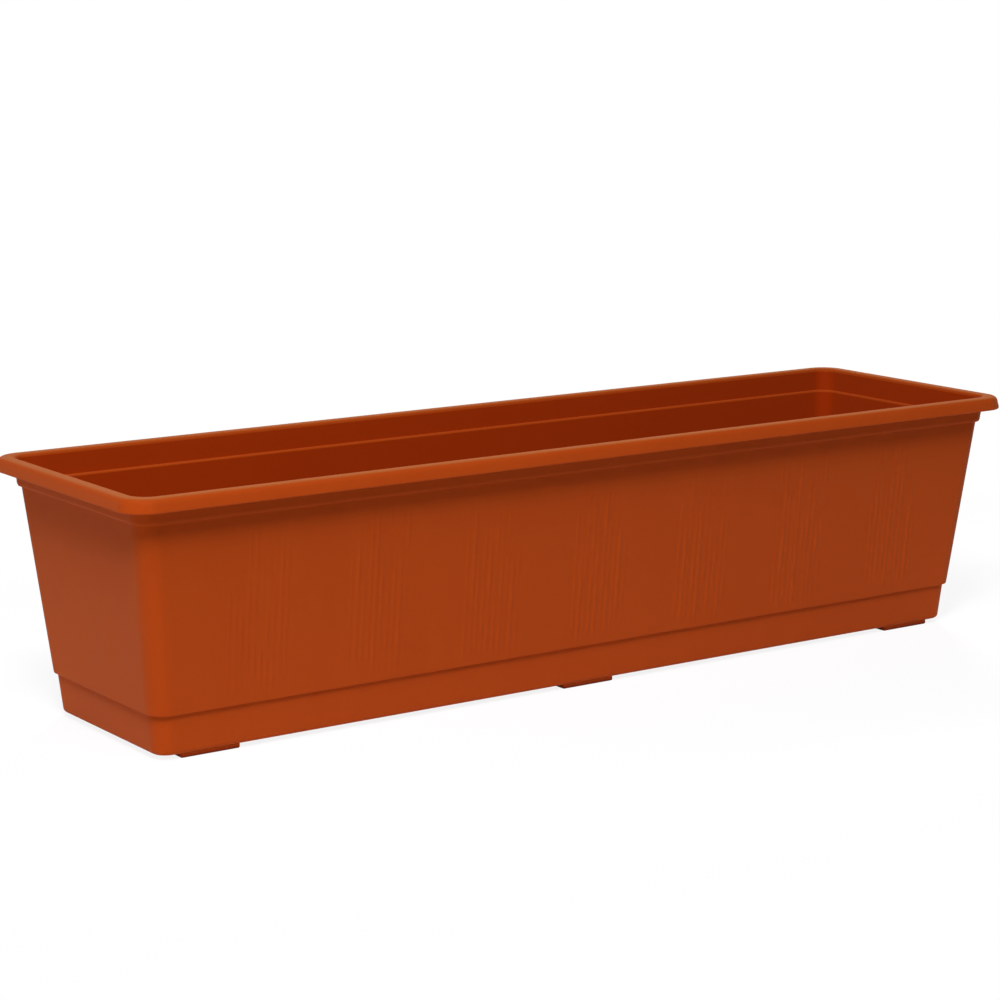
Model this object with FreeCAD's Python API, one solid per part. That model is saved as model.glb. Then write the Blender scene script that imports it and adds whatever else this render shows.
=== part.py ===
import FreeCAD, Part
import math
import os
from FreeCAD import Vector

# Window box planter: a long tapered trough with a rolled rim, standing in a shallow drip tray.
# All sizes are in mm. X runs along the length, Y across the width and Z up. The origin is the
# middle of the footprint, at the height of the ground under the tray's feet.

# Overall size
LENGTH = 600.0
WIDTH = 167.5
HEIGHT = 142.3

# Every outline is a rounded rectangle that is longer than it is wide by the same amount
END_EXCESS = (LENGTH - WIDTH) / 2

# Moulded walls
WALL = 1.8
FLOOR = 2.0
DRAFT = 0.103                   # outward lean of every wall, in mm for each mm of height
CORNER_RADIUS = 11.0
LOWER_CORNER_RADIUS = 9.0

# Trough, from the bottom up
TROUGH_FLOOR_HEIGHT = 12.0      # underside of the floor
SHOULDER_HEIGHT = 24.7          # step that sits on the tray's top edge
SHOULDER_HALF_WIDTH = 62.0
NECK_HEIGHT = 126.9             # underside of the outer step below the rim
LEDGE_HEIGHT = 128.7            # top of the matching ledge inside
NECK_STEP = 1.9                 # how far the neck stands out from the wall
LIP_HEIGHT = 134.8              # lower edge of the rolled rim
LIP_LEAN = 0.08                 # inward lean of the rim's outer face
LIP_CORNER_RADIUS = 16.0
CREST_OUTER_ROUND = 3.3
CREST_INNER_ROUND = 2.0
SKIRT_BEVEL = 1.6               # bevel where the skirt meets the floor

# Stiffening gussets inside the rolled rim
GUSSET_THICKNESS = 1.2
GUSSET_DEPTH = 3.5
GUSSET_PITCH = 90.0
GUSSETS_LONG_SIDE = 6
GUSSETS_SHORT_SIDE = 2
GUSSET_END_PITCH = 70.0

# Drainage holes in the trough's floor
DRAIN_RADIUS = 4.0
DRAIN_PITCH = 100.0
DRAIN_COLUMNS = 6
DRAIN_ROW_Y = 16.0

# Drip tray
TRAY_STEP = 1.55                # how far the tray's wall is set in below the trough's wall
TRAY_UNDERSIDE = 2.5
TRAY_BOTTOM_ROUND = 2.5
NEST_GAP = 0.35                 # gap all round between the trough's skirt and the tray's wall

# Feet moulded under the tray, three along each long edge
FOOT_LENGTH = 35.0
FOOT_DEPTH = 13.0
FOOT_FRONT_Y = 56.8
FOOT_PITCH = 243.5
FOOT_COLUMNS = 3
FOOT_ROUND = 0.6

# Posts on the tray that carry the trough's floor and plug into its holes
POST_PITCH = 200.0
POST_COLUMNS = 3
POST_ROW_Y = 34.0
POST_BASE_RADIUS = 8.0
POST_HOLE_RADIUS = 4.0
POST_FIT_GAP = 0.08
POST_FIN = 1.6
POST_TOP = 15.0
POST_LEAD_IN = 1.0

CUT_MARGIN = 1.0                # how far cutting shapes run past the surface they open
SINK = WALL / 2                 # how far posts and feet reach into the tray's floor
TOUCH = 0.01                    # edges this near to a place lie on it


def wall_half_width(z):
    """Outer half width of the trough's wall at a height."""
    return SHOULDER_HALF_WIDTH + DRAFT * (z - SHOULDER_HEIGHT)


def tray_half_width(z):
    """Outer half width of the tray's wall at a height."""
    return wall_half_width(z) - TRAY_STEP


def skirt_half_width(z):
    """Outer half width of the part of the trough that nests inside the tray."""
    return tray_half_width(z) - WALL - NEST_GAP


def neck_half_width(z):
    """Outer half width of the neck below the rolled rim."""
    return wall_half_width(z) + NECK_STEP


def lip_half_width(z):
    """Outer half width of the rolled rim, widest at its lower edge."""
    return WIDTH / 2 - LIP_LEAN * (z - LIP_HEIGHT)


def outline(half_width, radius, z):
    """Closed rounded rectangle around the planter at a height."""
    x = half_width + END_EXCESS - radius
    y = half_width - radius
    edges = []
    corners = [(x, y, 0), (-x, y, 90), (-x, -y, 180), (x, -y, 270)]
    for index, (cx, cy, angle) in enumerate(corners):
        arc = Part.makeCircle(radius, Vector(cx, cy, z), Vector(0, 0, 1), angle, angle + 90)
        next_x, next_y, next_angle = corners[(index + 1) % 4]
        turn = math.radians(next_angle)
        start = arc.Vertexes[-1].Point
        end = Vector(next_x + radius * math.cos(turn), next_y + radius * math.sin(turn), z)
        edges.append(arc)
        edges.append(Part.makeLine(start, end))
    return Part.Wire(edges)


def tapered_block(half_width, bottom, top, bottom_radius, top_radius):
    """Solid between two heights whose half width follows a function of the height."""
    lower = outline(half_width(bottom), bottom_radius, bottom)
    upper = outline(half_width(top), top_radius, top)
    return Part.makeLoft([lower, upper], True, True)


def inset(half_width, distance):
    """The same half width function, moved inward."""
    return lambda z: half_width(z) - distance


def edges_on(shape, ring):
    """Edges of a shape whose middle lies on an outline."""
    found = []
    for edge in shape.Edges:
        middle = edge.valueAt((edge.FirstParameter + edge.LastParameter) / 2)
        if ring.distToShape(Part.Vertex(middle))[0] < TOUCH:
            found.append(edge)
    return found


def rounded(shape, round_radius, half_width, corner_radius, z):
    """The shape with the edge that runs round it at one height rounded off."""
    ring = outline(half_width(z), corner_radius, z)
    return shape.makeFillet(round_radius, edges_on(shape, ring))


def grid(pitch, columns, row_y):
    """Points in two rows, spread evenly about the middle of the length."""
    first = -pitch * (columns - 1) / 2
    return [(first + pitch * column, side * row_y) for side in (-1, 1) for column in range(columns)]


def lip_hollow():
    """Space inside the rolled rim, open downward, with its gussets left standing."""
    radius = LIP_CORNER_RADIUS - WALL
    bottom = LIP_HEIGHT - CUT_MARGIN
    top = HEIGHT - WALL
    space = tapered_block(inset(lip_half_width, WALL), bottom, top, radius, radius)
    neck = tapered_block(neck_half_width, bottom - CUT_MARGIN, top + CUT_MARGIN,
                         CORNER_RADIUS, CORNER_RADIUS)
    return space.cut(neck).cut(Part.makeCompound(gussets()))


def gussets():
    """Thin upright plates across the inside of the rolled rim."""
    plates = []
    base = HEIGHT - WALL - GUSSET_DEPTH
    for column in range(GUSSETS_LONG_SIDE):
        x = GUSSET_PITCH * (column - (GUSSETS_LONG_SIDE - 1) / 2) - GUSSET_THICKNESS / 2
        plates.append(Part.makeBox(GUSSET_THICKNESS, WIDTH, HEIGHT, Vector(x, -WIDTH / 2, base)))
    for row in range(GUSSETS_SHORT_SIDE):
        y = GUSSET_END_PITCH * (row - (GUSSETS_SHORT_SIDE - 1) / 2) - GUSSET_THICKNESS / 2
        plates.append(Part.makeBox(LENGTH, GUSSET_THICKNESS, HEIGHT, Vector(-LENGTH / 2, y, base)))
    return plates


def trough_body():
    """Outer form of the trough: skirt, tapered wall, neck and rim."""
    bevel_top = TROUGH_FLOOR_HEIGHT + SKIRT_BEVEL
    bevel_width = skirt_half_width(bevel_top)
    bevel_outline = outline(bevel_width, LOWER_CORNER_RADIUS, bevel_top)
    floor_outline = outline(bevel_width - SKIRT_BEVEL, LOWER_CORNER_RADIUS, TROUGH_FLOOR_HEIGHT)
    bevel = Part.makeLoft([floor_outline, bevel_outline], True, True)
    skirt = tapered_block(skirt_half_width, bevel_top, SHOULDER_HEIGHT + WALL,
                          LOWER_CORNER_RADIUS, LOWER_CORNER_RADIUS)
    wall = tapered_block(wall_half_width, SHOULDER_HEIGHT, LEDGE_HEIGHT,
                         CORNER_RADIUS, CORNER_RADIUS)
    neck = tapered_block(neck_half_width, NECK_HEIGHT, HEIGHT - WALL,
                         CORNER_RADIUS, CORNER_RADIUS)
    lip = tapered_block(lip_half_width, LIP_HEIGHT, HEIGHT,
                        LIP_CORNER_RADIUS, LIP_CORNER_RADIUS)
    lip = rounded(lip, CREST_OUTER_ROUND, lip_half_width, LIP_CORNER_RADIUS, HEIGHT)
    return bevel.fuse([skirt, wall, neck, lip])


def trough_space():
    """Planting space inside the trough, open at the top."""
    skirt_radius = LOWER_CORNER_RADIUS - WALL
    wall_radius = CORNER_RADIUS - WALL
    shelf = SHOULDER_HEIGHT + WALL
    skirt = tapered_block(inset(skirt_half_width, WALL), TROUGH_FLOOR_HEIGHT + FLOOR,
                          shelf + CUT_MARGIN, skirt_radius, skirt_radius)
    wall = tapered_block(inset(wall_half_width, WALL), shelf, LEDGE_HEIGHT + CUT_MARGIN,
                         wall_radius, wall_radius)
    neck = tapered_block(inset(neck_half_width, WALL), LEDGE_HEIGHT, HEIGHT + CUT_MARGIN,
                         wall_radius, wall_radius)
    return skirt.fuse([wall, neck])


def floor_hole(radius, x, y):
    """Upright cylinder that cuts one round hole in the trough's floor."""
    base = Vector(x, y, TROUGH_FLOOR_HEIGHT - CUT_MARGIN)
    return Part.makeCylinder(radius, FLOOR + 2 * CUT_MARGIN, base)


def planter_box():
    """Trough with its drainage holes and the holes for the tray's posts."""
    box = trough_body().cut(trough_space()).removeSplitter()
    crest_inner = inset(neck_half_width, WALL)
    box = rounded(box, CREST_INNER_ROUND, crest_inner, CORNER_RADIUS - WALL, HEIGHT)
    box = box.cut(lip_hollow())
    holes = [floor_hole(DRAIN_RADIUS, x, y) for x, y in grid(DRAIN_PITCH, DRAIN_COLUMNS, DRAIN_ROW_Y)]
    holes += [floor_hole(POST_HOLE_RADIUS, x, y) for x, y in grid(POST_PITCH, POST_COLUMNS, POST_ROW_Y)]
    return box.cut(holes).removeSplitter()


def post():
    """Cross-shaped post: wide fins carry the trough's floor, the narrow plug above fits its hole."""
    bottom = TRAY_UNDERSIDE + SINK
    plug_radius = POST_HOLE_RADIUS - POST_FIT_GAP
    profile = [
        Vector(0, 0, bottom),
        Vector(POST_BASE_RADIUS, 0, bottom),
        Vector(POST_BASE_RADIUS, 0, TROUGH_FLOOR_HEIGHT),
        Vector(plug_radius, 0, TROUGH_FLOOR_HEIGHT),
        Vector(plug_radius, 0, POST_TOP - POST_LEAD_IN),
        Vector(plug_radius - POST_LEAD_IN / 2, 0, POST_TOP),
        Vector(0, 0, POST_TOP),
        Vector(0, 0, bottom),
    ]
    turned = Part.Face(Part.makePolygon(profile)).revolve(Vector(0, 0, 0), Vector(0, 0, 1), 360)
    span = 2 * POST_BASE_RADIUS
    fin = Part.makeBox(span, POST_FIN, POST_TOP, Vector(-span / 2, -POST_FIN / 2, 0))
    cross_fin = Part.makeBox(POST_FIN, span, POST_TOP, Vector(-POST_FIN / 2, -span / 2, 0))
    return turned.common(fin.fuse(cross_fin))


def foot():
    """Flat pad, rounded on its lower edges, that reaches up into the tray's floor."""
    corner = Vector(-FOOT_LENGTH / 2, -FOOT_DEPTH / 2, 0)
    pad = Part.makeBox(FOOT_LENGTH, FOOT_DEPTH, TRAY_UNDERSIDE + SINK, corner)
    lower = [edge for edge in pad.Edges if edge.BoundBox.ZMax < TOUCH]
    return pad.makeFillet(FOOT_ROUND, lower)


def drip_tray():
    """Shallow tray with feet below and posts inside."""
    shell = tapered_block(tray_half_width, TRAY_UNDERSIDE, SHOULDER_HEIGHT,
                          LOWER_CORNER_RADIUS, CORNER_RADIUS)
    shell = rounded(shell, TRAY_BOTTOM_ROUND, tray_half_width, LOWER_CORNER_RADIUS, TRAY_UNDERSIDE)
    space = tapered_block(inset(tray_half_width, WALL), TRAY_UNDERSIDE + WALL,
                          SHOULDER_HEIGHT + CUT_MARGIN, LOWER_CORNER_RADIUS - WALL, CORNER_RADIUS - WALL)
    posts = [post().translated(Vector(x, y, 0)) for x, y in grid(POST_PITCH, POST_COLUMNS, POST_ROW_Y)]
    foot_row_y = FOOT_FRONT_Y - FOOT_DEPTH / 2
    feet = [foot().translated(Vector(x, y, 0)) for x, y in grid(FOOT_PITCH, FOOT_COLUMNS, foot_row_y)]
    return shell.cut(space).fuse(posts + feet).removeSplitter()


os.makedirs("parts", exist_ok=True)
for name, shape in (("planter_box", planter_box()), ("drip_tray", drip_tray())):
    volume = round(shape.Volume / 1000, 1)
    print(name, "solids", len(shape.Solids), "valid", shape.isValid(), "cubic centimetres", volume)
    shape.exportStep(os.path.join("parts", name + ".step"))
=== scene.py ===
import math

import bmesh
import bpy
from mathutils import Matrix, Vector, noise


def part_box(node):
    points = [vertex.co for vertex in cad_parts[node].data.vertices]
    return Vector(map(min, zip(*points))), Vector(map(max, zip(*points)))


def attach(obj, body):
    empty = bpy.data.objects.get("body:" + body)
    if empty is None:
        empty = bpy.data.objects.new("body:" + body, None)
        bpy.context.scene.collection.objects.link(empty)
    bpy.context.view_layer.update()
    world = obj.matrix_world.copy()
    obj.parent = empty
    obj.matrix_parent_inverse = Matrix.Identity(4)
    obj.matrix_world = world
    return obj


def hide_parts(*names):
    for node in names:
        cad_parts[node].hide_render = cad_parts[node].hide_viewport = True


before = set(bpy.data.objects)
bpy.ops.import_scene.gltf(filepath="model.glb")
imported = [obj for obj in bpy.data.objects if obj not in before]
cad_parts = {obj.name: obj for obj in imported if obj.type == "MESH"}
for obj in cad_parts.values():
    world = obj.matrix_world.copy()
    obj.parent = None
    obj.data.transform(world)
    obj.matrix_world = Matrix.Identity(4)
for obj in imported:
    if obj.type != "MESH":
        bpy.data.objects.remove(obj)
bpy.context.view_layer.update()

# Window box planter: a tapered trough with a rolled rim in a shallow drip tray, both moulded in
# satin terracotta-coloured plastic. Sizes are in metres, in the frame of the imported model: X runs
# along the length, Y towards the back, Z up.

MM = 0.001

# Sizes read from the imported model
trough_low, trough_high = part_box("planter_box")
tray_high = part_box("drip_tray")[1]
LENGTH = trough_high.x - trough_low.x
WIDTH = trough_high.y - trough_low.y
HEIGHT = trough_high.z
TROUGH_FLOOR_HEIGHT = trough_low.z
SHOULDER_HEIGHT = tray_high.z
END_EXCESS = (LENGTH - WIDTH) / 2

# Moulded walls; DRAFT is how far they widen for each unit of height
WALL = 1.8 * MM
FLOOR = 2.0 * MM
DRAFT = 0.103
CORNER_RADIUS = 11.0 * MM
LOWER_CORNER_RADIUS = 9.0 * MM
EDGE_ROUND = 0.4 * MM
LEDGE_ROUND = 1.2 * MM
FLOOR_FILLET = 2.0 * MM
# Part of an ellipse that rounds the neck's lower edge: the ellipse's half width, then the part's
# height and its turn in degrees
NECK_ROUND_WIDTH = 1.8 * MM
NECK_ROUND_HEIGHT = 3.2 * MM
NECK_ROUND_TURN = 55.0
# How far gussets, posts and feet reach into what carries them
SINK = WALL / 2

# Trough
SHOULDER_HALF_WIDTH = 62.0 * MM
NECK_HEIGHT = 126.9 * MM
LEDGE_HEIGHT = 128.7 * MM
NECK_STEP = 1.9 * MM
LIP_HEIGHT = 134.8 * MM
LIP_LEAN = 0.08
LIP_CORNER_RADIUS = 16.0 * MM
CREST_OUTER_ROUND = 3.3 * MM
CREST_INNER_ROUND = 2.0 * MM
SKIRT_BEVEL = 1.6 * MM
GUSSET_THICKNESS = 1.2 * MM
GUSSET_DEPTH = 3.5 * MM
GUSSET_PITCH = 90.0 * MM
GUSSETS_LONG_SIDE = 6
GUSSET_END_PITCH = 70.0 * MM
GUSSETS_SHORT_SIDE = 2
HOLE_RADIUS = 4.0 * MM
HOLE_EDGE = 0.35 * MM
DRAIN_PITCH = 100.0 * MM
DRAIN_COLUMNS = 6
DRAIN_ROW_Y = 16.0 * MM

# Tray
TRAY_STEP = 1.55 * MM
TRAY_UNDERSIDE = 2.5 * MM
TRAY_BOTTOM_ROUND = 2.5 * MM
NEST_GAP = 0.35 * MM
FOOT_LENGTH = 35.0 * MM
FOOT_DEPTH = 13.0 * MM
FOOT_FRONT_Y = 56.8 * MM
FOOT_PITCH = 243.5 * MM
FOOT_COLUMNS = 3
FOOT_ROUND = 1.0 * MM
FOOT_CORNER = 1.2 * MM
POST_PITCH = 200.0 * MM
POST_COLUMNS = 3
POST_ROW_Y = 34.0 * MM
POST_BASE_RADIUS = 8.0 * MM
POST_FIT_GAP = 0.08 * MM
POST_FIN = 1.6 * MM
POST_TOP = 15.0 * MM
POST_LEAD_IN = 1.0 * MM

# Fine upright lines moulded into both long sides, in clusters at an equal pitch
CLUSTER_PITCH = 73.4 * MM
# How strongly each cluster shows, from the left end to the right
CLUSTERS = (0.65, 0.85, 1.0, 1.05, 1.1, 1.1, 1.1)
MIDDLE_CLUSTER = len(CLUSTERS) // 2
CLUSTER_REACH = 21.0 * MM
COLUMN_STEP = 0.4 * MM
ROW_STEP = 2.5 * MM
LINES_BOTTOM = 27.5 * MM
LINES_TOP = 124.5 * MM
LINE_RELIEF = 0.52 * MM
# Each line's place from the middle of its cluster and its spread, in mm, and its strength
LINES = (
    (-17.0, 0.55, 0.7),
    (-13.0, 0.7, 1.0),
    (-9.4, 0.55, 0.7),
    (-5.4, 0.55, 0.75),
    (-1.9, 0.7, 0.95),
    (2.3, 0.6, 0.8),
    (6.1, 0.65, 0.9),
    (9.8, 0.55, 0.75),
    (13.5, 0.7, 1.0),
    (17.3, 0.55, 0.7),
)
# How many spreads from its middle a line still counts, and how far it may be off its place in mm
LINE_REACH = 3.0
LINE_OFFSET = 0.8
# Length of a line's strokes, their mean strength and how far noise swings it
STROKE_LENGTH = 11.0 * MM
STROKE_MEAN = 0.65
STROKE_SWING = 1.2
# A line fades at both ends, and stops lower the further its chance is below FULL_HEIGHT_CHANCE
LOWER_FADE = 6.0 * MM
UPPER_FADE = 22.0 * MM
TOP_STAGGER = 60.0 * MM
FULL_HEIGHT_CHANCE = 0.25
# Steps through the noise, from line to line and from cluster to cluster
TOP_STEPS = (1.7, 2.9)
OFFSET_STEPS = (2.3, 4.1)
STROKE_STEPS = (3.7, 5.3)

# Places of the two materials among a piece's materials: the plain plastic, and a darker, redder copy
# of it that paints shade into the trough's inside
OUTSIDE = 0
INSIDE_PAINTED_SHADE = 1

# Tones of the plastic: outside; inside the trough, darker and redder as painted shade; on the rim's
# crest, paler as a painted highlight; near the ground, darker as painted shade
DEEP_TERRACOTTA = (0.315, 0.0385, 0.0030, 1)
LIGHT_TERRACOTTA = (0.350, 0.047, 0.0045, 1)
DEEP_INSIDE_PAINTED_SHADE = (0.265, 0.0215, 0.0006, 1)
LIGHT_INSIDE_PAINTED_SHADE = (0.295, 0.0275, 0.0012, 1)
CREST_PAINTED_HIGHLIGHT = (0.305, 0.067, 0.0125, 1)
FEET_PAINTED_SHADE = (0.105, 0.0050, 0.0002, 1)
CREST_HIGHLIGHT_DEPTH = 0.9 * MM
FEET_SHADE_HEIGHT = 3.2 * MM

# Noise in the finish, as stretch along the axes, scale and detail
FLOW_MARKS = ((1.0, 1.0, 0.25), 38.0, 4.0)
MOTTLE = ((1.0, 1.0, 1.0), 420.0, 3.0)
GRAIN = ((1.0, 1.0, 1.0), 2600.0, 2.0)
NOISE_ROUGHNESS = 0.55
MOTTLE_SHARE = 0.35
# Range of the noise that the range of roughness follows
NOISE_LOW, NOISE_HIGH = 0.3, 0.7
ROUGHNESS_LOW, ROUGHNESS_HIGH = 0.50, 0.60
BUMP_STRENGTH = 0.4
BUMP_HEIGHT = 0.05 * MM
SPECULAR_LEVEL = 0.02
SHEEN_WEIGHT = 0.1
SHEEN_ROUGHNESS = 0.5
SHEEN_TINT = (1.0, 0.65, 0.30, 1)

# Steps in each rounded corner, round of the section and hole
CORNER_STEPS = 12
ROUND_STEPS = 5
HOLE_STEPS = 32
SHARP_ANGLE = math.radians(35)


# ---------------------------------------------------------------- outlines


def wall_half_width(z):
    """Outer half width of the trough's wall at a height."""
    return SHOULDER_HALF_WIDTH + DRAFT * (z - SHOULDER_HEIGHT)


def tray_half_width(z):
    """Outer half width of the tray's wall at a height."""
    return wall_half_width(z) - TRAY_STEP


def skirt_half_width(z):
    """Outer half width of the part of the trough that nests inside the tray."""
    return tray_half_width(z) - WALL - NEST_GAP


def neck_half_width(z):
    """Outer half width of the neck below the rolled rim."""
    return wall_half_width(z) + NECK_STEP


def lip_half_width(z):
    """Outer half width of the rolled rim, widest at its lower edge."""
    return WIDTH / 2 - LIP_LEAN * (z - LIP_HEIGHT)


def grid(pitch, columns, row_y):
    """Points in two rows, spread evenly about the middle of the length."""
    first = -pitch * (columns - 1) / 2
    return [(first + pitch * column, side * row_y) for side in (-1, 1) for column in range(columns)]


def arc(centre_width, centre_z, radius, start, end, corner_at, half_height=None):
    """Points along a round in the wall's section, as (half width, corner radius, height).

    The round is part of a circle, or of an ellipse where its half height is given.
    """
    rise = radius if half_height is None else half_height
    points = []
    for step in range(ROUND_STEPS + 1):
        angle = math.radians(start + (end - start) * step / ROUND_STEPS)
        width = centre_width + radius * math.cos(angle)
        points.append((width, corner_at(width), centre_z + rise * math.sin(angle)))
    return points


def round_corner(width, radius):
    """Corner radius that keeps an outline's corner centre while the outline moves in or out."""
    return lambda at: radius + at - width


# ---------------------------------------------------------------- meshes


def chance_of(line, cluster, steps):
    """Noise from -1 to 1 that differs from line to line and from cluster to cluster."""
    by_line, by_cluster = steps
    return noise.noise(Vector((line * by_line, cluster * by_cluster, 0)))


def line_strength(cluster, line, z):
    """How strongly a line shows at a height, from 0 to 1: it breaks into strokes and fades out."""
    top = LINES_TOP - TOP_STAGGER * max(0.0, FULL_HEIGHT_CHANCE - chance_of(line, cluster, TOP_STEPS))
    by_line, by_cluster = STROKE_STEPS
    place = Vector((z / STROKE_LENGTH, line * by_line, cluster * by_cluster))
    strokes = STROKE_MEAN + STROKE_SWING * noise.noise(place)
    ends = min((z - LINES_BOTTOM) / LOWER_FADE, (top - z) / UPPER_FADE)
    return max(0.0, min(1.0, strokes)) * max(0.0, min(1.0, ends))


def relief_at(x, z):
    """How far the lines stand out of a long side's wall at a place."""
    cluster = round(x / CLUSTER_PITCH)
    from_middle = (x - cluster * CLUSTER_PITCH) / MM
    height = 0.0
    for line, (offset, spread, strength) in enumerate(LINES):
        shift = LINE_OFFSET * chance_of(line, cluster, OFFSET_STEPS)
        distance = (from_middle - offset - shift) / spread
        if abs(distance) < LINE_REACH:
            height += strength * line_strength(cluster, line, z) * math.exp(-distance * distance / 2)
    return LINE_RELIEF * CLUSTERS[cluster + MIDDLE_CLUSTER] * height


def line_columns():
    """Places along a long side where the clusters of lines need vertices."""
    steps = round(CLUSTER_REACH / COLUMN_STEP)
    middles = [CLUSTER_PITCH * (cluster - MIDDLE_CLUSTER) for cluster in range(len(CLUSTERS))]
    return [middle + COLUMN_STEP * step for middle in middles for step in range(-steps, steps + 1)]


def ring(mesh, half_width, radius, z, columns=(), relief=False):
    """Vertices of one outline as eight stretches: front side, corner, right side, corner, ..."""
    y = half_width - radius
    x = y + END_EXCESS
    corners = []
    for centre_x, centre_y, first in ((x, -y, -90), (x, y, 0), (-x, y, 90), (-x, -y, 180)):
        corner = []
        for step in range(CORNER_STEPS + 1):
            angle = math.radians(first + 90 * step / CORNER_STEPS)
            place = (centre_x + radius * math.cos(angle), centre_y + radius * math.sin(angle), z)
            corner.append(mesh.verts.new(place))
        corners.append(corner)
    stretches = []
    for side, corner in enumerate(corners):
        between = []
        if side == 0:
            between = [side_vertex(mesh, place, -half_width, z, relief) for place in columns]
        if side == 2:
            between = [side_vertex(mesh, place, half_width, z, relief) for place in columns[::-1]]
        stretches.append([corners[side - 1][-1]] + between + [corner[0]])
        stretches.append(corner)
    return stretches


def side_vertex(mesh, x, y, z, relief):
    """Vertex on a long side, moved outward by the relief of the lines there."""
    if relief:
        y += math.copysign(relief_at(x, z), y)
    return mesh.verts.new((x, y, z))


def bridge(mesh, first, second, finish=OUTSIDE):
    """Faces between two rings; a stretch whose vertex counts differ becomes one flat face."""
    for a, b in zip(first, second):
        if len(a) != len(b):
            faces = [a + b[::-1]]
        else:
            faces = [(a[i], a[i + 1], b[i + 1], b[i]) for i in range(len(a) - 1)]
        for corners in faces:
            mesh.faces.new(corners).material_index = finish


def skin(mesh, profile, start=None, finish=OUTSIDE):
    """Rings through the profile's points joined one to the next; returns the first and last."""
    rings = [start] if start else []
    rings += [ring(mesh, *point) for point in profile]
    for first, second in zip(rings, rings[1:]):
        bridge(mesh, first, second, finish)
    return rings[0], rings[-1]


def loop_of(stretches):
    """The ring's vertices once round, without the ones that neighbouring stretches share."""
    return [vertex for stretch in stretches for vertex in stretch[:-1]]


def circle(mesh, x, y, z, radius):
    """Vertices of one circle."""
    turn = 2 * math.pi / HOLE_STEPS
    return [mesh.verts.new((x + radius * math.cos(turn * i), y + radius * math.sin(turn * i), z))
            for i in range(HOLE_STEPS)]


def loop_edges(mesh, loop):
    """Edges along a closed loop of vertices, made where they don't exist yet."""
    edges = []
    for a, b in zip(loop, loop[1:] + loop[:1]):
        edges.append(mesh.edges.get((a, b)) or mesh.edges.new((a, b)))
    return edges


def cap(mesh, outer, holes, normal, finish=OUTSIDE):
    """Flat face inside a loop, with round holes left open."""
    edges = loop_edges(mesh, outer)
    for hole in holes:
        edges += loop_edges(mesh, hole)
    made = bmesh.ops.triangle_fill(mesh, use_beauty=True, edges=edges, normal=normal)
    for face in made["geom"]:
        if isinstance(face, bmesh.types.BMFace):
            face.material_index = finish
            if face.normal.dot(normal) < 0:
                face.normal_flip()


def close_loops(mesh, lower, upper):
    """Quads between two equal closed loops."""
    count = len(lower)
    for i in range(count):
        j = (i + 1) % count
        mesh.faces.new((lower[i], lower[j], upper[j], upper[i]))


def finished(mesh, name, *materials):
    """Object made from a bmesh with all its normals facing outward."""
    bmesh.ops.recalc_face_normals(mesh, faces=mesh.faces)
    data = bpy.data.meshes.new(name)
    mesh.to_mesh(data)
    mesh.free()
    for material in materials:
        data.materials.append(material)
    piece = bpy.data.objects.new(name, data)
    bpy.context.scene.collection.objects.link(piece)
    return piece


def smooth(piece):
    """Smooth shading that keeps the sharp edges and lets the large faces stay flat."""
    piece.data.shade_smooth()
    piece.data.set_sharp_from_angle(angle=SHARP_ANGLE)
    weighted = piece.modifiers.new("flat_faces", "WEIGHTED_NORMAL")
    weighted.keep_sharp = True


def joined(piece, addition):
    """The piece fused with another solid into one closed mesh."""
    union = piece.modifiers.new("union", "BOOLEAN")
    union.operation = "UNION"
    union.solver = "EXACT"
    union.use_self = True
    union.object = addition
    graph = bpy.context.evaluated_depsgraph_get()
    fused = bpy.data.meshes.new_from_object(piece.evaluated_get(graph))
    piece.modifiers.clear()
    old = piece.data
    piece.data = fused
    fused.name = piece.name
    bpy.data.meshes.remove(old)
    bpy.data.meshes.remove(addition.data)
    return piece


# ---------------------------------------------------------------- trough


def trough_outside_lower():
    """Section from the floor's underside over the skirt to the foot of the wall."""
    bevel_top = TROUGH_FLOOR_HEIGHT + SKIRT_BEVEL
    skirt = skirt_half_width(bevel_top)
    seat = SHOULDER_HEIGHT
    edge_width = wall_half_width(seat) - EDGE_ROUND
    points = [
        (skirt - SKIRT_BEVEL, LOWER_CORNER_RADIUS, TROUGH_FLOOR_HEIGHT),
        (skirt, LOWER_CORNER_RADIUS, bevel_top),
        (skirt_half_width(seat), LOWER_CORNER_RADIUS, seat),
    ]
    corner = round_corner(wall_half_width(seat), CORNER_RADIUS)
    points += arc(edge_width, seat + EDGE_ROUND, EDGE_ROUND, -90, 0, corner)
    return points


def wall_rows():
    """Heights of the rows of vertices that carry the lines."""
    rows = round((LINES_TOP - LINES_BOTTOM) / ROW_STEP)
    return [LINES_BOTTOM + (LINES_TOP - LINES_BOTTOM) * row / rows for row in range(rows + 1)]


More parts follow.
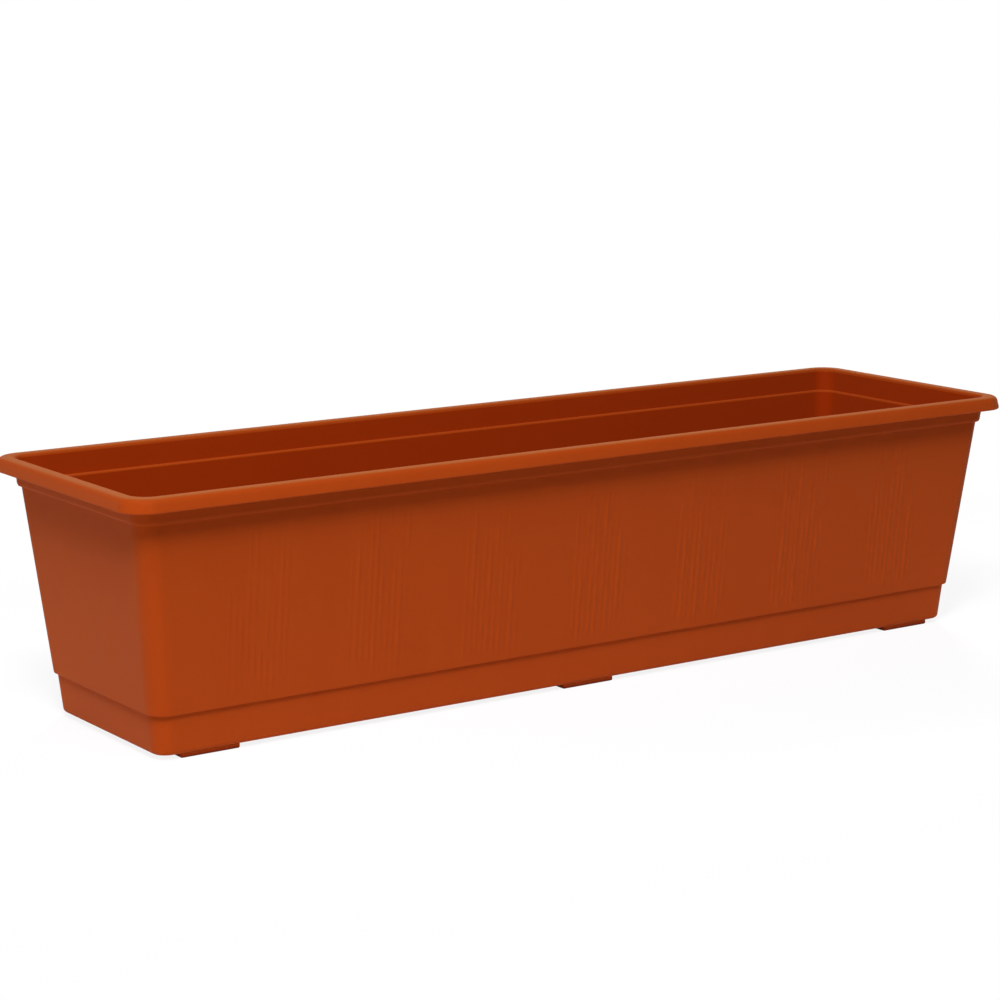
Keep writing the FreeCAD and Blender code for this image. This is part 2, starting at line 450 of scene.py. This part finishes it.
def trough_outside_upper():
    """Section from the neck over the rim's hollow, edge and crest to the inside."""
    neck_edge = neck_half_width(NECK_HEIGHT)
    neck_corner = round_corner(neck_edge, CORNER_RADIUS)
    points = [(wall_half_width(NECK_HEIGHT), CORNER_RADIUS, NECK_HEIGHT)]
    rise = NECK_ROUND_HEIGHT / math.sin(math.radians(NECK_ROUND_TURN))
    points += arc(neck_edge - NECK_ROUND_WIDTH, NECK_HEIGHT + NECK_ROUND_HEIGHT, NECK_ROUND_WIDTH,
                  -NECK_ROUND_TURN, 0, neck_corner, rise)
    ceiling = HEIGHT - WALL
    points.append((neck_half_width(ceiling), CORNER_RADIUS, ceiling))
    inner_radius = LIP_CORNER_RADIUS - WALL
    points.append((lip_half_width(ceiling) - WALL, inner_radius, ceiling))
    lip_edge = lip_half_width(LIP_HEIGHT)
    rolled = WALL / 2
    points.append((lip_edge - WALL, inner_radius, LIP_HEIGHT + rolled))
    lip_corner = round_corner(lip_edge, LIP_CORNER_RADIUS)
    points += arc(lip_edge - rolled, LIP_HEIGHT + rolled, rolled, -180, 0, lip_corner)[1:]
    crest_edge = lip_half_width(HEIGHT)
    crest_corner = round_corner(crest_edge, LIP_CORNER_RADIUS)
    points += arc(crest_edge - CREST_OUTER_ROUND, HEIGHT - CREST_OUTER_ROUND, CREST_OUTER_ROUND,
                  0, 90, crest_corner)
    mouth = neck_half_width(HEIGHT) - WALL
    mouth_corner = round_corner(mouth, CORNER_RADIUS - WALL)
    points += arc(mouth + CREST_INNER_ROUND, HEIGHT - CREST_INNER_ROUND, CREST_INNER_ROUND,
                  90, 180, mouth_corner)
    return points


def trough_ledge():
    """Section of the ledge inside, below the mouth."""
    inner_radius = CORNER_RADIUS - WALL
    ledge_edge = wall_half_width(LEDGE_HEIGHT) - WALL
    ledge_corner = round_corner(ledge_edge, inner_radius)
    points = [(neck_half_width(LEDGE_HEIGHT) - WALL, inner_radius, LEDGE_HEIGHT)]
    points += arc(ledge_edge + LEDGE_ROUND, LEDGE_HEIGHT - LEDGE_ROUND, LEDGE_ROUND, 90, 180,
                  ledge_corner)
    return points


def trough_inside():
    """Section from below the ledge down to the floor."""
    skirt_radius = LOWER_CORNER_RADIUS - WALL
    shelf = SHOULDER_HEIGHT + WALL
    floor = TROUGH_FLOOR_HEIGHT + FLOOR
    points = [(wall_half_width(shelf) - WALL, CORNER_RADIUS - WALL, shelf)]
    shelf_edge = skirt_half_width(shelf) - WALL
    shelf_corner = round_corner(shelf_edge, skirt_radius)
    points += arc(shelf_edge + EDGE_ROUND, shelf - EDGE_ROUND, EDGE_ROUND, 90, 180, shelf_corner)
    floor_edge = skirt_half_width(floor) - WALL
    floor_corner = round_corner(floor_edge, skirt_radius)
    points += arc(floor_edge - FLOOR_FILLET, floor + FLOOR_FILLET, FLOOR_FILLET, 0, -90, floor_corner)
    return points


def add_wall_with_lines(mesh, below, above):
    """Tapered wall between two rings, with the lines raised on its long sides."""
    columns = line_columns()
    last = below
    for z in wall_rows():
        row = ring(mesh, wall_half_width(z), CORNER_RADIUS, z, columns, relief=True)
        bridge(mesh, last, row)
        last = row
    bridge(mesh, last, above)


def add_holed_floor(mesh, underside, top, low, high):
    """Floor between its two outer rings, pierced by drainage holes and holes for the plugs."""
    places = grid(DRAIN_PITCH, DRAIN_COLUMNS, DRAIN_ROW_Y) + grid(POST_PITCH, POST_COLUMNS, POST_ROW_Y)
    below, above = [], []
    for x, y in places:
        loops = [
            circle(mesh, x, y, low, HOLE_RADIUS + HOLE_EDGE),
            circle(mesh, x, y, low + HOLE_EDGE, HOLE_RADIUS),
            circle(mesh, x, y, high - HOLE_EDGE, HOLE_RADIUS),
            circle(mesh, x, y, high, HOLE_RADIUS + HOLE_EDGE),
        ]
        for first, second in zip(loops, loops[1:]):
            close_loops(mesh, second, first)
        below.append(loops[0])
        above.append(loops[-1])
    cap(mesh, loop_of(underside), below, Vector((0, 0, -1)))
    cap(mesh, loop_of(top), above, Vector((0, 0, 1)), INSIDE_PAINTED_SHADE)


def box_between(mesh, low, high):
    """Closed box between two corners."""
    made = bmesh.ops.create_cube(mesh, size=1.0)
    for vertex in made["verts"]:
        vertex.co = Vector(low[i] if vertex.co[i] < 0 else high[i] for i in range(3))


def rim_gussets(material):
    """Thin plates across the hollow of the rolled rim."""
    mesh = bmesh.new()
    base = HEIGHT - WALL - GUSSET_DEPTH
    top = HEIGHT - SINK
    near = neck_half_width(base) - SINK
    far = lip_half_width(HEIGHT) - SINK
    half = GUSSET_THICKNESS / 2
    for side in (-1, 1):
        near_y, far_y = sorted((side * near, side * far))
        near_x, far_x = sorted((side * (near + END_EXCESS), side * (far + END_EXCESS)))
        for column in range(GUSSETS_LONG_SIDE):
            x = GUSSET_PITCH * (column - (GUSSETS_LONG_SIDE - 1) / 2)
            box_between(mesh, (x - half, near_y, base), (x + half, far_y, top))
        for row in range(GUSSETS_SHORT_SIDE):
            y = GUSSET_END_PITCH * (row - (GUSSETS_SHORT_SIDE - 1) / 2)
            box_between(mesh, (near_x, y - half, base), (far_x, y + half, top))
    return finished(mesh, "rim_gussets", material)


def make_trough(outside, inside):
    """The whole trough as one closed shell."""
    mesh = bmesh.new()
    underside, wall_foot = skin(mesh, trough_outside_lower())
    neck, mouth = skin(mesh, trough_outside_upper())
    ledge = trough_ledge()
    # Mouth, inside walls and floor take the darker copy that paints shade; the ledge's round keeps the
    # plain tone
    ledge_start = skin(mesh, ledge[:1], mouth, INSIDE_PAINTED_SHADE)[1]
    ledge_end = skin(mesh, ledge[1:], ledge_start)[1]
    floor_top = skin(mesh, trough_inside(), ledge_end, INSIDE_PAINTED_SHADE)[1]
    add_wall_with_lines(mesh, wall_foot, neck)
    add_holed_floor(mesh, underside, floor_top, TROUGH_FLOOR_HEIGHT, TROUGH_FLOOR_HEIGHT + FLOOR)
    piece = finished(mesh, "planter_trough", outside, inside)
    smooth(piece)
    return piece


# ---------------------------------------------------------------- tray


def tray_section():
    """Section from the tray's underside over its top edge to its floor."""
    floor = TRAY_UNDERSIDE + WALL
    bottom = tray_half_width(TRAY_UNDERSIDE)
    bottom_corner = round_corner(bottom, LOWER_CORNER_RADIUS)
    points = arc(bottom - TRAY_BOTTOM_ROUND, TRAY_UNDERSIDE + TRAY_BOTTOM_ROUND, TRAY_BOTTOM_ROUND,
                 -90, 0, bottom_corner)
    top = SHOULDER_HEIGHT
    edge = tray_half_width(top)
    edge_corner = round_corner(edge, CORNER_RADIUS)
    points += arc(edge - EDGE_ROUND, top - EDGE_ROUND, EDGE_ROUND, 0, 90, edge_corner)
    inner = edge - WALL
    inner_corner = round_corner(inner, CORNER_RADIUS - WALL)
    points += arc(inner + EDGE_ROUND, top - EDGE_ROUND, EDGE_ROUND, 90, 180, inner_corner)
    foot = tray_half_width(floor) - WALL
    foot_corner = round_corner(foot, LOWER_CORNER_RADIUS - WALL)
    points += arc(foot - FLOOR_FILLET, floor + FLOOR_FILLET, FLOOR_FILLET, 0, -90, foot_corner)
    return points


def add_plus_outline(mesh, x, y, z, reach):
    """Twelve corners of a cross."""
    half = POST_FIN / 2
    quarter = ((reach, -half), (reach, half), (half, half))
    corners = []
    for turn in range(4):
        angle = turn * math.pi / 2
        for u, v in quarter:
            corners.append(mesh.verts.new((x + u * math.cos(angle) - v * math.sin(angle),
                                           y + u * math.sin(angle) + v * math.cos(angle), z)))
    return corners


def add_cross_block(mesh, x, y, levels):
    """Closed cross-shaped block through several levels, each a height and a reach."""
    loops = [add_plus_outline(mesh, x, y, z, reach) for z, reach in levels]
    for lower, upper in zip(loops, loops[1:]):
        close_loops(mesh, lower, upper)
    mesh.faces.new(loops[0][::-1])
    mesh.faces.new(loops[-1])


def add_posts(mesh):
    """Posts that carry the trough's floor and plug into its holes."""
    bottom = TRAY_UNDERSIDE + SINK
    plug = HOLE_RADIUS - POST_FIT_GAP
    seat = TROUGH_FLOOR_HEIGHT
    for x, y in grid(POST_PITCH, POST_COLUMNS, POST_ROW_Y):
        add_cross_block(mesh, x, y, ((bottom, POST_BASE_RADIUS), (seat, POST_BASE_RADIUS)))
        add_cross_block(mesh, x, y, ((seat - SINK, plug), (POST_TOP - POST_LEAD_IN, plug),
                                     (POST_TOP, plug - POST_LEAD_IN / 2)))


def add_feet(mesh):
    """Flat pads under the tray, rounded at their corners and lower edges."""
    levels = [(TRAY_UNDERSIDE + SINK, 0.0)]
    for step in range(ROUND_STEPS + 1):
        angle = math.pi / 2 * step / ROUND_STEPS
        levels.append((FOOT_ROUND * (1 - math.sin(angle)), FOOT_ROUND * (1 - math.cos(angle))))
    for x, y in grid(FOOT_PITCH, FOOT_COLUMNS, FOOT_FRONT_Y - FOOT_DEPTH / 2):
        loops = [pad_outline(mesh, x, y, z, inset) for z, inset in levels]
        for upper, lower in zip(loops, loops[1:]):
            close_loops(mesh, lower, upper)
        mesh.faces.new(loops[0])
        mesh.faces.new(loops[-1][::-1])


def pad_outline(mesh, x, y, z, inset):
    """Rounded rectangle of one foot at a height."""
    radius = FOOT_CORNER - inset
    half_x = FOOT_LENGTH / 2 - FOOT_CORNER
    half_y = FOOT_DEPTH / 2 - FOOT_CORNER
    corners = []
    for sign_x, sign_y, first in ((1, -1, -90), (1, 1, 0), (-1, 1, 90), (-1, -1, 180)):
        for step in range(ROUND_STEPS + 1):
            angle = math.radians(first + 90 * step / ROUND_STEPS)
            corners.append(mesh.verts.new((x + sign_x * half_x + radius * math.cos(angle),
                                           y + sign_y * half_y + radius * math.sin(angle), z)))
    return corners


def make_tray(material):
    """The tray with its feet and posts as one closed shell."""
    mesh = bmesh.new()
    underside, floor_top = skin(mesh, tray_section())
    cap(mesh, loop_of(underside), [], Vector((0, 0, -1)))
    cap(mesh, loop_of(floor_top), [], Vector((0, 0, 1)))
    piece = finished(mesh, "drip_tray_shell", material)
    extra = bmesh.new()
    add_posts(extra)
    add_feet(extra)
    piece = joined(piece, finished(extra, "tray_posts_and_feet", material))
    smooth(piece)
    return piece


# ---------------------------------------------------------------- materials


def node(tree, kind, inputs=(), **settings):
    """New shader node with its settings and the values of its named inputs."""
    made = tree.nodes.new(kind)
    for key, value in settings.items():
        setattr(made, key, value)
    for key, value in inputs:
        made.inputs[key].default_value = value
    return made


def noise_at(tree, coordinates, stretch, scale, detail):
    """Noise over the piece, with its grain stretched along the axes."""
    place = node(tree, "ShaderNodeMapping", [("Scale", stretch)])
    tree.links.new(coordinates, place.inputs["Vector"])
    pattern = node(tree, "ShaderNodeTexNoise",
                   [("Scale", scale), ("Detail", detail), ("Roughness", NOISE_ROUGHNESS)])
    tree.links.new(place.outputs["Vector"], pattern.inputs["Vector"])
    return pattern.outputs["Fac"]


def moulded_plastic(name, deep, light):
    """Satin moulded plastic: faint flow marks, fine grain and a soft gloss that varies, paler towards
    the top of the rim as a painted highlight and darker near the ground as painted shade.
    """
    material = bpy.data.materials.new(name)
    material.use_nodes = True
    tree = material.node_tree
    links = tree.links
    shader = tree.nodes["Principled BSDF"]
    coordinates = node(tree, "ShaderNodeTexCoord").outputs["Object"]

    flow = noise_at(tree, coordinates, *FLOW_MARKS)
    mottle = noise_at(tree, coordinates, *MOTTLE)
    grain = noise_at(tree, coordinates, *GRAIN)

    both = node(tree, "ShaderNodeMix", data_type="FLOAT")
    both.inputs["Factor"].default_value = MOTTLE_SHARE
    links.new(flow, both.inputs["A"])
    links.new(mottle, both.inputs["B"])
    colour = node(tree, "ShaderNodeMix", data_type="RGBA")
    colour.inputs["A"].default_value = deep
    colour.inputs["B"].default_value = light
    links.new(both.outputs["Result"], colour.inputs["Factor"])
    # Painted highlight: paler towards the rim's crest
    crest_highlighted = paint_light_towards(tree, coordinates, colour, CREST_PAINTED_HIGHLIGHT, HEIGHT - CREST_HIGHLIGHT_DEPTH, HEIGHT)
    # Painted shade: darker on the feet and the lowest few millimetres of each piece
    feet_shaded = paint_light_towards(tree, coordinates, crest_highlighted, FEET_PAINTED_SHADE, FEET_SHADE_HEIGHT, 0)
    links.new(feet_shaded.outputs["Result"], shader.inputs["Base Color"])

    gloss = node(tree, "ShaderNodeMapRange",
                 [("From Min", NOISE_LOW), ("From Max", NOISE_HIGH),
                  ("To Min", ROUGHNESS_LOW), ("To Max", ROUGHNESS_HIGH)])
    links.new(both.outputs["Result"], gloss.inputs["Value"])
    links.new(gloss.outputs["Result"], shader.inputs["Roughness"])

    bump = node(tree, "ShaderNodeBump", [("Strength", BUMP_STRENGTH), ("Distance", BUMP_HEIGHT)])
    links.new(grain, bump.inputs["Height"])
    links.new(bump.outputs["Normal"], shader.inputs["Normal"])
    shader.inputs["Specular IOR Level"].default_value = SPECULAR_LEVEL
    shader.inputs["Sheen Weight"].default_value = SHEEN_WEIGHT
    shader.inputs["Sheen Roughness"].default_value = SHEEN_ROUGHNESS
    shader.inputs["Sheen Tint"].default_value = SHEEN_TINT
    return material


def paint_light_towards(tree, coordinates, colour, tone, start, end):
    """The colour turned smoothly into another tone between two heights, to paint in light or shade."""
    place = node(tree, "ShaderNodeSeparateXYZ")
    tree.links.new(coordinates, place.inputs["Vector"])
    share = node(tree, "ShaderNodeMapRange", [("From Min", start), ("From Max", end)],
                 interpolation_type="SMOOTHSTEP")
    tree.links.new(place.outputs["Z"], share.inputs["Value"])
    painted = node(tree, "ShaderNodeMix", data_type="RGBA")
    painted.inputs["B"].default_value = tone
    tree.links.new(colour.outputs["Result"], painted.inputs["A"])
    tree.links.new(share.outputs["Result"], painted.inputs["Factor"])
    return painted


def background_floor():
    """Pale floor: white to the camera and in reflections, with the object's shadow kept."""
    material = bpy.data.materials.new("pale_floor")
    material.use_nodes = True
    tree = material.node_tree
    shader = tree.nodes["Principled BSDF"]
    shader.inputs["Roughness"].default_value = 1.0
    shader.inputs["Specular IOR Level"].default_value = 0.0
    glow = node(tree, "ShaderNodeEmission", [("Color", (1, 1, 1, 1)), ("Strength", 1.0)])
    flat = node(tree, "ShaderNodeMapping", [("Scale", FLOOR_STRETCH)])
    tree.links.new(node(tree, "ShaderNodeTexCoord").outputs["Object"], flat.inputs["Vector"])
    distance = node(tree, "ShaderNodeVectorMath", operation="LENGTH")
    tree.links.new(flat.outputs["Vector"], distance.inputs[0])
    tone = node(tree, "ShaderNodeMapRange",
                [("From Min", TONE_START), ("From Max", FADE_END),
                 ("To Min", FLOOR_NEAR), ("To Max", FLOOR_FAR)])
    tree.links.new(distance.outputs["Value"], tone.inputs["Value"])
    tree.links.new(tone.outputs["Result"], shader.inputs["Base Color"])
    white = node(tree, "ShaderNodeMapRange",
                 [("From Min", WHITE_START), ("From Max", FADE_END), ("To Min", WHITE_NEAR)])
    tree.links.new(distance.outputs["Value"], white.inputs["Value"])
    share = node(tree, "ShaderNodeMath", operation="MULTIPLY")
    tree.links.new(seen_directly(tree), share.inputs[0])
    tree.links.new(white.outputs["Result"], share.inputs[1])
    mix = node(tree, "ShaderNodeMixShader")
    tree.links.new(share.outputs[0], mix.inputs["Fac"])
    tree.links.new(shader.outputs["BSDF"], mix.inputs[1])
    tree.links.new(glow.outputs["Emission"], mix.inputs[2])
    tree.links.new(mix.outputs["Shader"], tree.nodes["Material Output"].inputs["Surface"])
    return material


def seen_directly(tree):
    """1 for rays from the camera, in reflections and through clear things, else 0."""
    path = node(tree, "ShaderNodeLightPath")
    first = node(tree, "ShaderNodeMath", operation="MAXIMUM")
    both = node(tree, "ShaderNodeMath", operation="MAXIMUM")
    tree.links.new(path.outputs["Is Camera Ray"], first.inputs[0])
    tree.links.new(path.outputs["Is Glossy Ray"], first.inputs[1])
    tree.links.new(first.outputs[0], both.inputs[0])
    tree.links.new(path.outputs["Is Transmission Ray"], both.inputs[1])
    return both.outputs[0]


# ---------------------------------------------------------------- studio


# Lamps as azimuth in degrees to the left of the front, elevation, distance from the object's
# middle, width, height and power
KEY = (41, 46, 1.8, 0.38, 0.38, 22.9)
UPPER_KEY = (40, 60, 2.0, 0.6, 0.6, 17.3)
LEFT_STRIP = (80, 1, 1.6, 1.0, 0.25, 3.5)
RIGHT_STRIP = (-25, 1, 1.6, 1.0, 0.25, 1.0)
BACK_LIGHT = (222, 33, 2.0, 0.6, 0.4, 25.0)
AIM = Vector((0, 0, HEIGHT / 2))

# The floor goes from one tone to another with the distance from the object's middle, and its
# share of plain white goes from WHITE_NEAR to all of it. Along X only half the distance counts.
FLOOR_NEAR = 0.95
FLOOR_FAR = 0.45
WHITE_NEAR = 0.87
FLOOR_STRETCH = (0.5, 1.0, 1.0)
TONE_START = 0.28
WHITE_START = 0.2
FADE_END = 0.4
FLOOR_HALF = 6.0
FLOOR_GAP = 0.05 * MM

# Camera fitted to the photograph's edges and corners: sensor and focal length in mm, place, and
# in degrees its tilt up from straight down and its turn
SENSOR_WIDTH = 36.0
LENS = 99.74
CAMERA_PLACE = (-0.91423, -1.27456, 0.39707)
CAMERA_TILT = 79.194
CAMERA_TURN = -35.01


def make_world():
    """White background for what is seen directly and in reflections, dark to all other rays."""
    world = bpy.data.worlds.new("studio")
    bpy.context.scene.world = world
    world.use_nodes = True
    tree = world.node_tree
    background = tree.nodes["Background"]
    background.inputs["Color"].default_value = (1, 1, 1, 1)
    tree.links.new(seen_directly(tree), background.inputs["Strength"])


def make_floor():
    """Large flat floor a hair below the feet, so that the two don't share a plane."""
    mesh = bmesh.new()
    corners = [mesh.verts.new((sx * FLOOR_HALF, sy * FLOOR_HALF, -FLOOR_GAP))
               for sx, sy in ((-1, -1), (1, -1), (1, 1), (-1, 1))]
    mesh.faces.new(corners)
    floor = finished(mesh, "floor", background_floor())


def make_lamp(name, azimuth, elevation, distance, width, height, power):
    """Soft box aimed at the object; returns it."""
    data = bpy.data.lights.new(name, "AREA")
    data.shape = "RECTANGLE"
    data.size = width
    data.size_y = height
    data.energy = power
    turn, rise = math.radians(azimuth), math.radians(elevation)
    away = Vector((-math.cos(rise) * math.sin(turn), -math.cos(rise) * math.cos(turn), math.sin(rise)))
    lamp = bpy.data.objects.new(name, data)
    lamp.location = AIM + distance * away
    lamp.rotation_euler = away.to_track_quat("Z", "Y").to_euler()
    bpy.context.scene.collection.objects.link(lamp)
    return lamp


def make_camera():
    """Camera at the photograph's place and angle."""
    data = bpy.data.cameras.new("camera")
    data.sensor_width = SENSOR_WIDTH
    data.lens = LENS
    camera = bpy.data.objects.new("camera", data)
    camera.location = CAMERA_PLACE
    camera.rotation_euler = (math.radians(CAMERA_TILT), 0, math.radians(CAMERA_TURN))
    bpy.context.scene.collection.objects.link(camera)
    bpy.context.scene.camera = camera


# ---------------------------------------------------------------- assembly


def main():
    """Make the pieces, tie them to their bodies and light them."""
    plastic = moulded_plastic("terracotta_plastic", DEEP_TERRACOTTA, LIGHT_TERRACOTTA)
    tray_plastic = moulded_plastic("terracotta_tray_plastic", DEEP_TERRACOTTA, LIGHT_TERRACOTTA)
    # The trough's inside is a darker, redder copy of the plastic: painted shade
    inner_painted_shade_plastic = moulded_plastic("terracotta_inside_painted_shade_plastic", DEEP_INSIDE_PAINTED_SHADE, LIGHT_INSIDE_PAINTED_SHADE)
    trough = make_trough(plastic, inner_painted_shade_plastic)
    gussets = rim_gussets(plastic)
    tray = make_tray(tray_plastic)
    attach(trough, "trough")
    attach(gussets, "trough")
    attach(tray, "tray")
    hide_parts("planter_box")
    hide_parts("drip_tray")
    make_floor()
    make_world()
    make_lamp("key", *KEY)
    make_lamp("upper_key", *UPPER_KEY)
    make_lamp("left_strip", *LEFT_STRIP)
    make_lamp("right_strip", *RIGHT_STRIP)
    # Seen from the front, the back light's gloss would burn out the rim's crest
    make_lamp("back_light", *BACK_LIGHT).visible_glossy = False
    make_camera()
    bpy.context.scene.view_settings.view_transform = "Standard"


main()
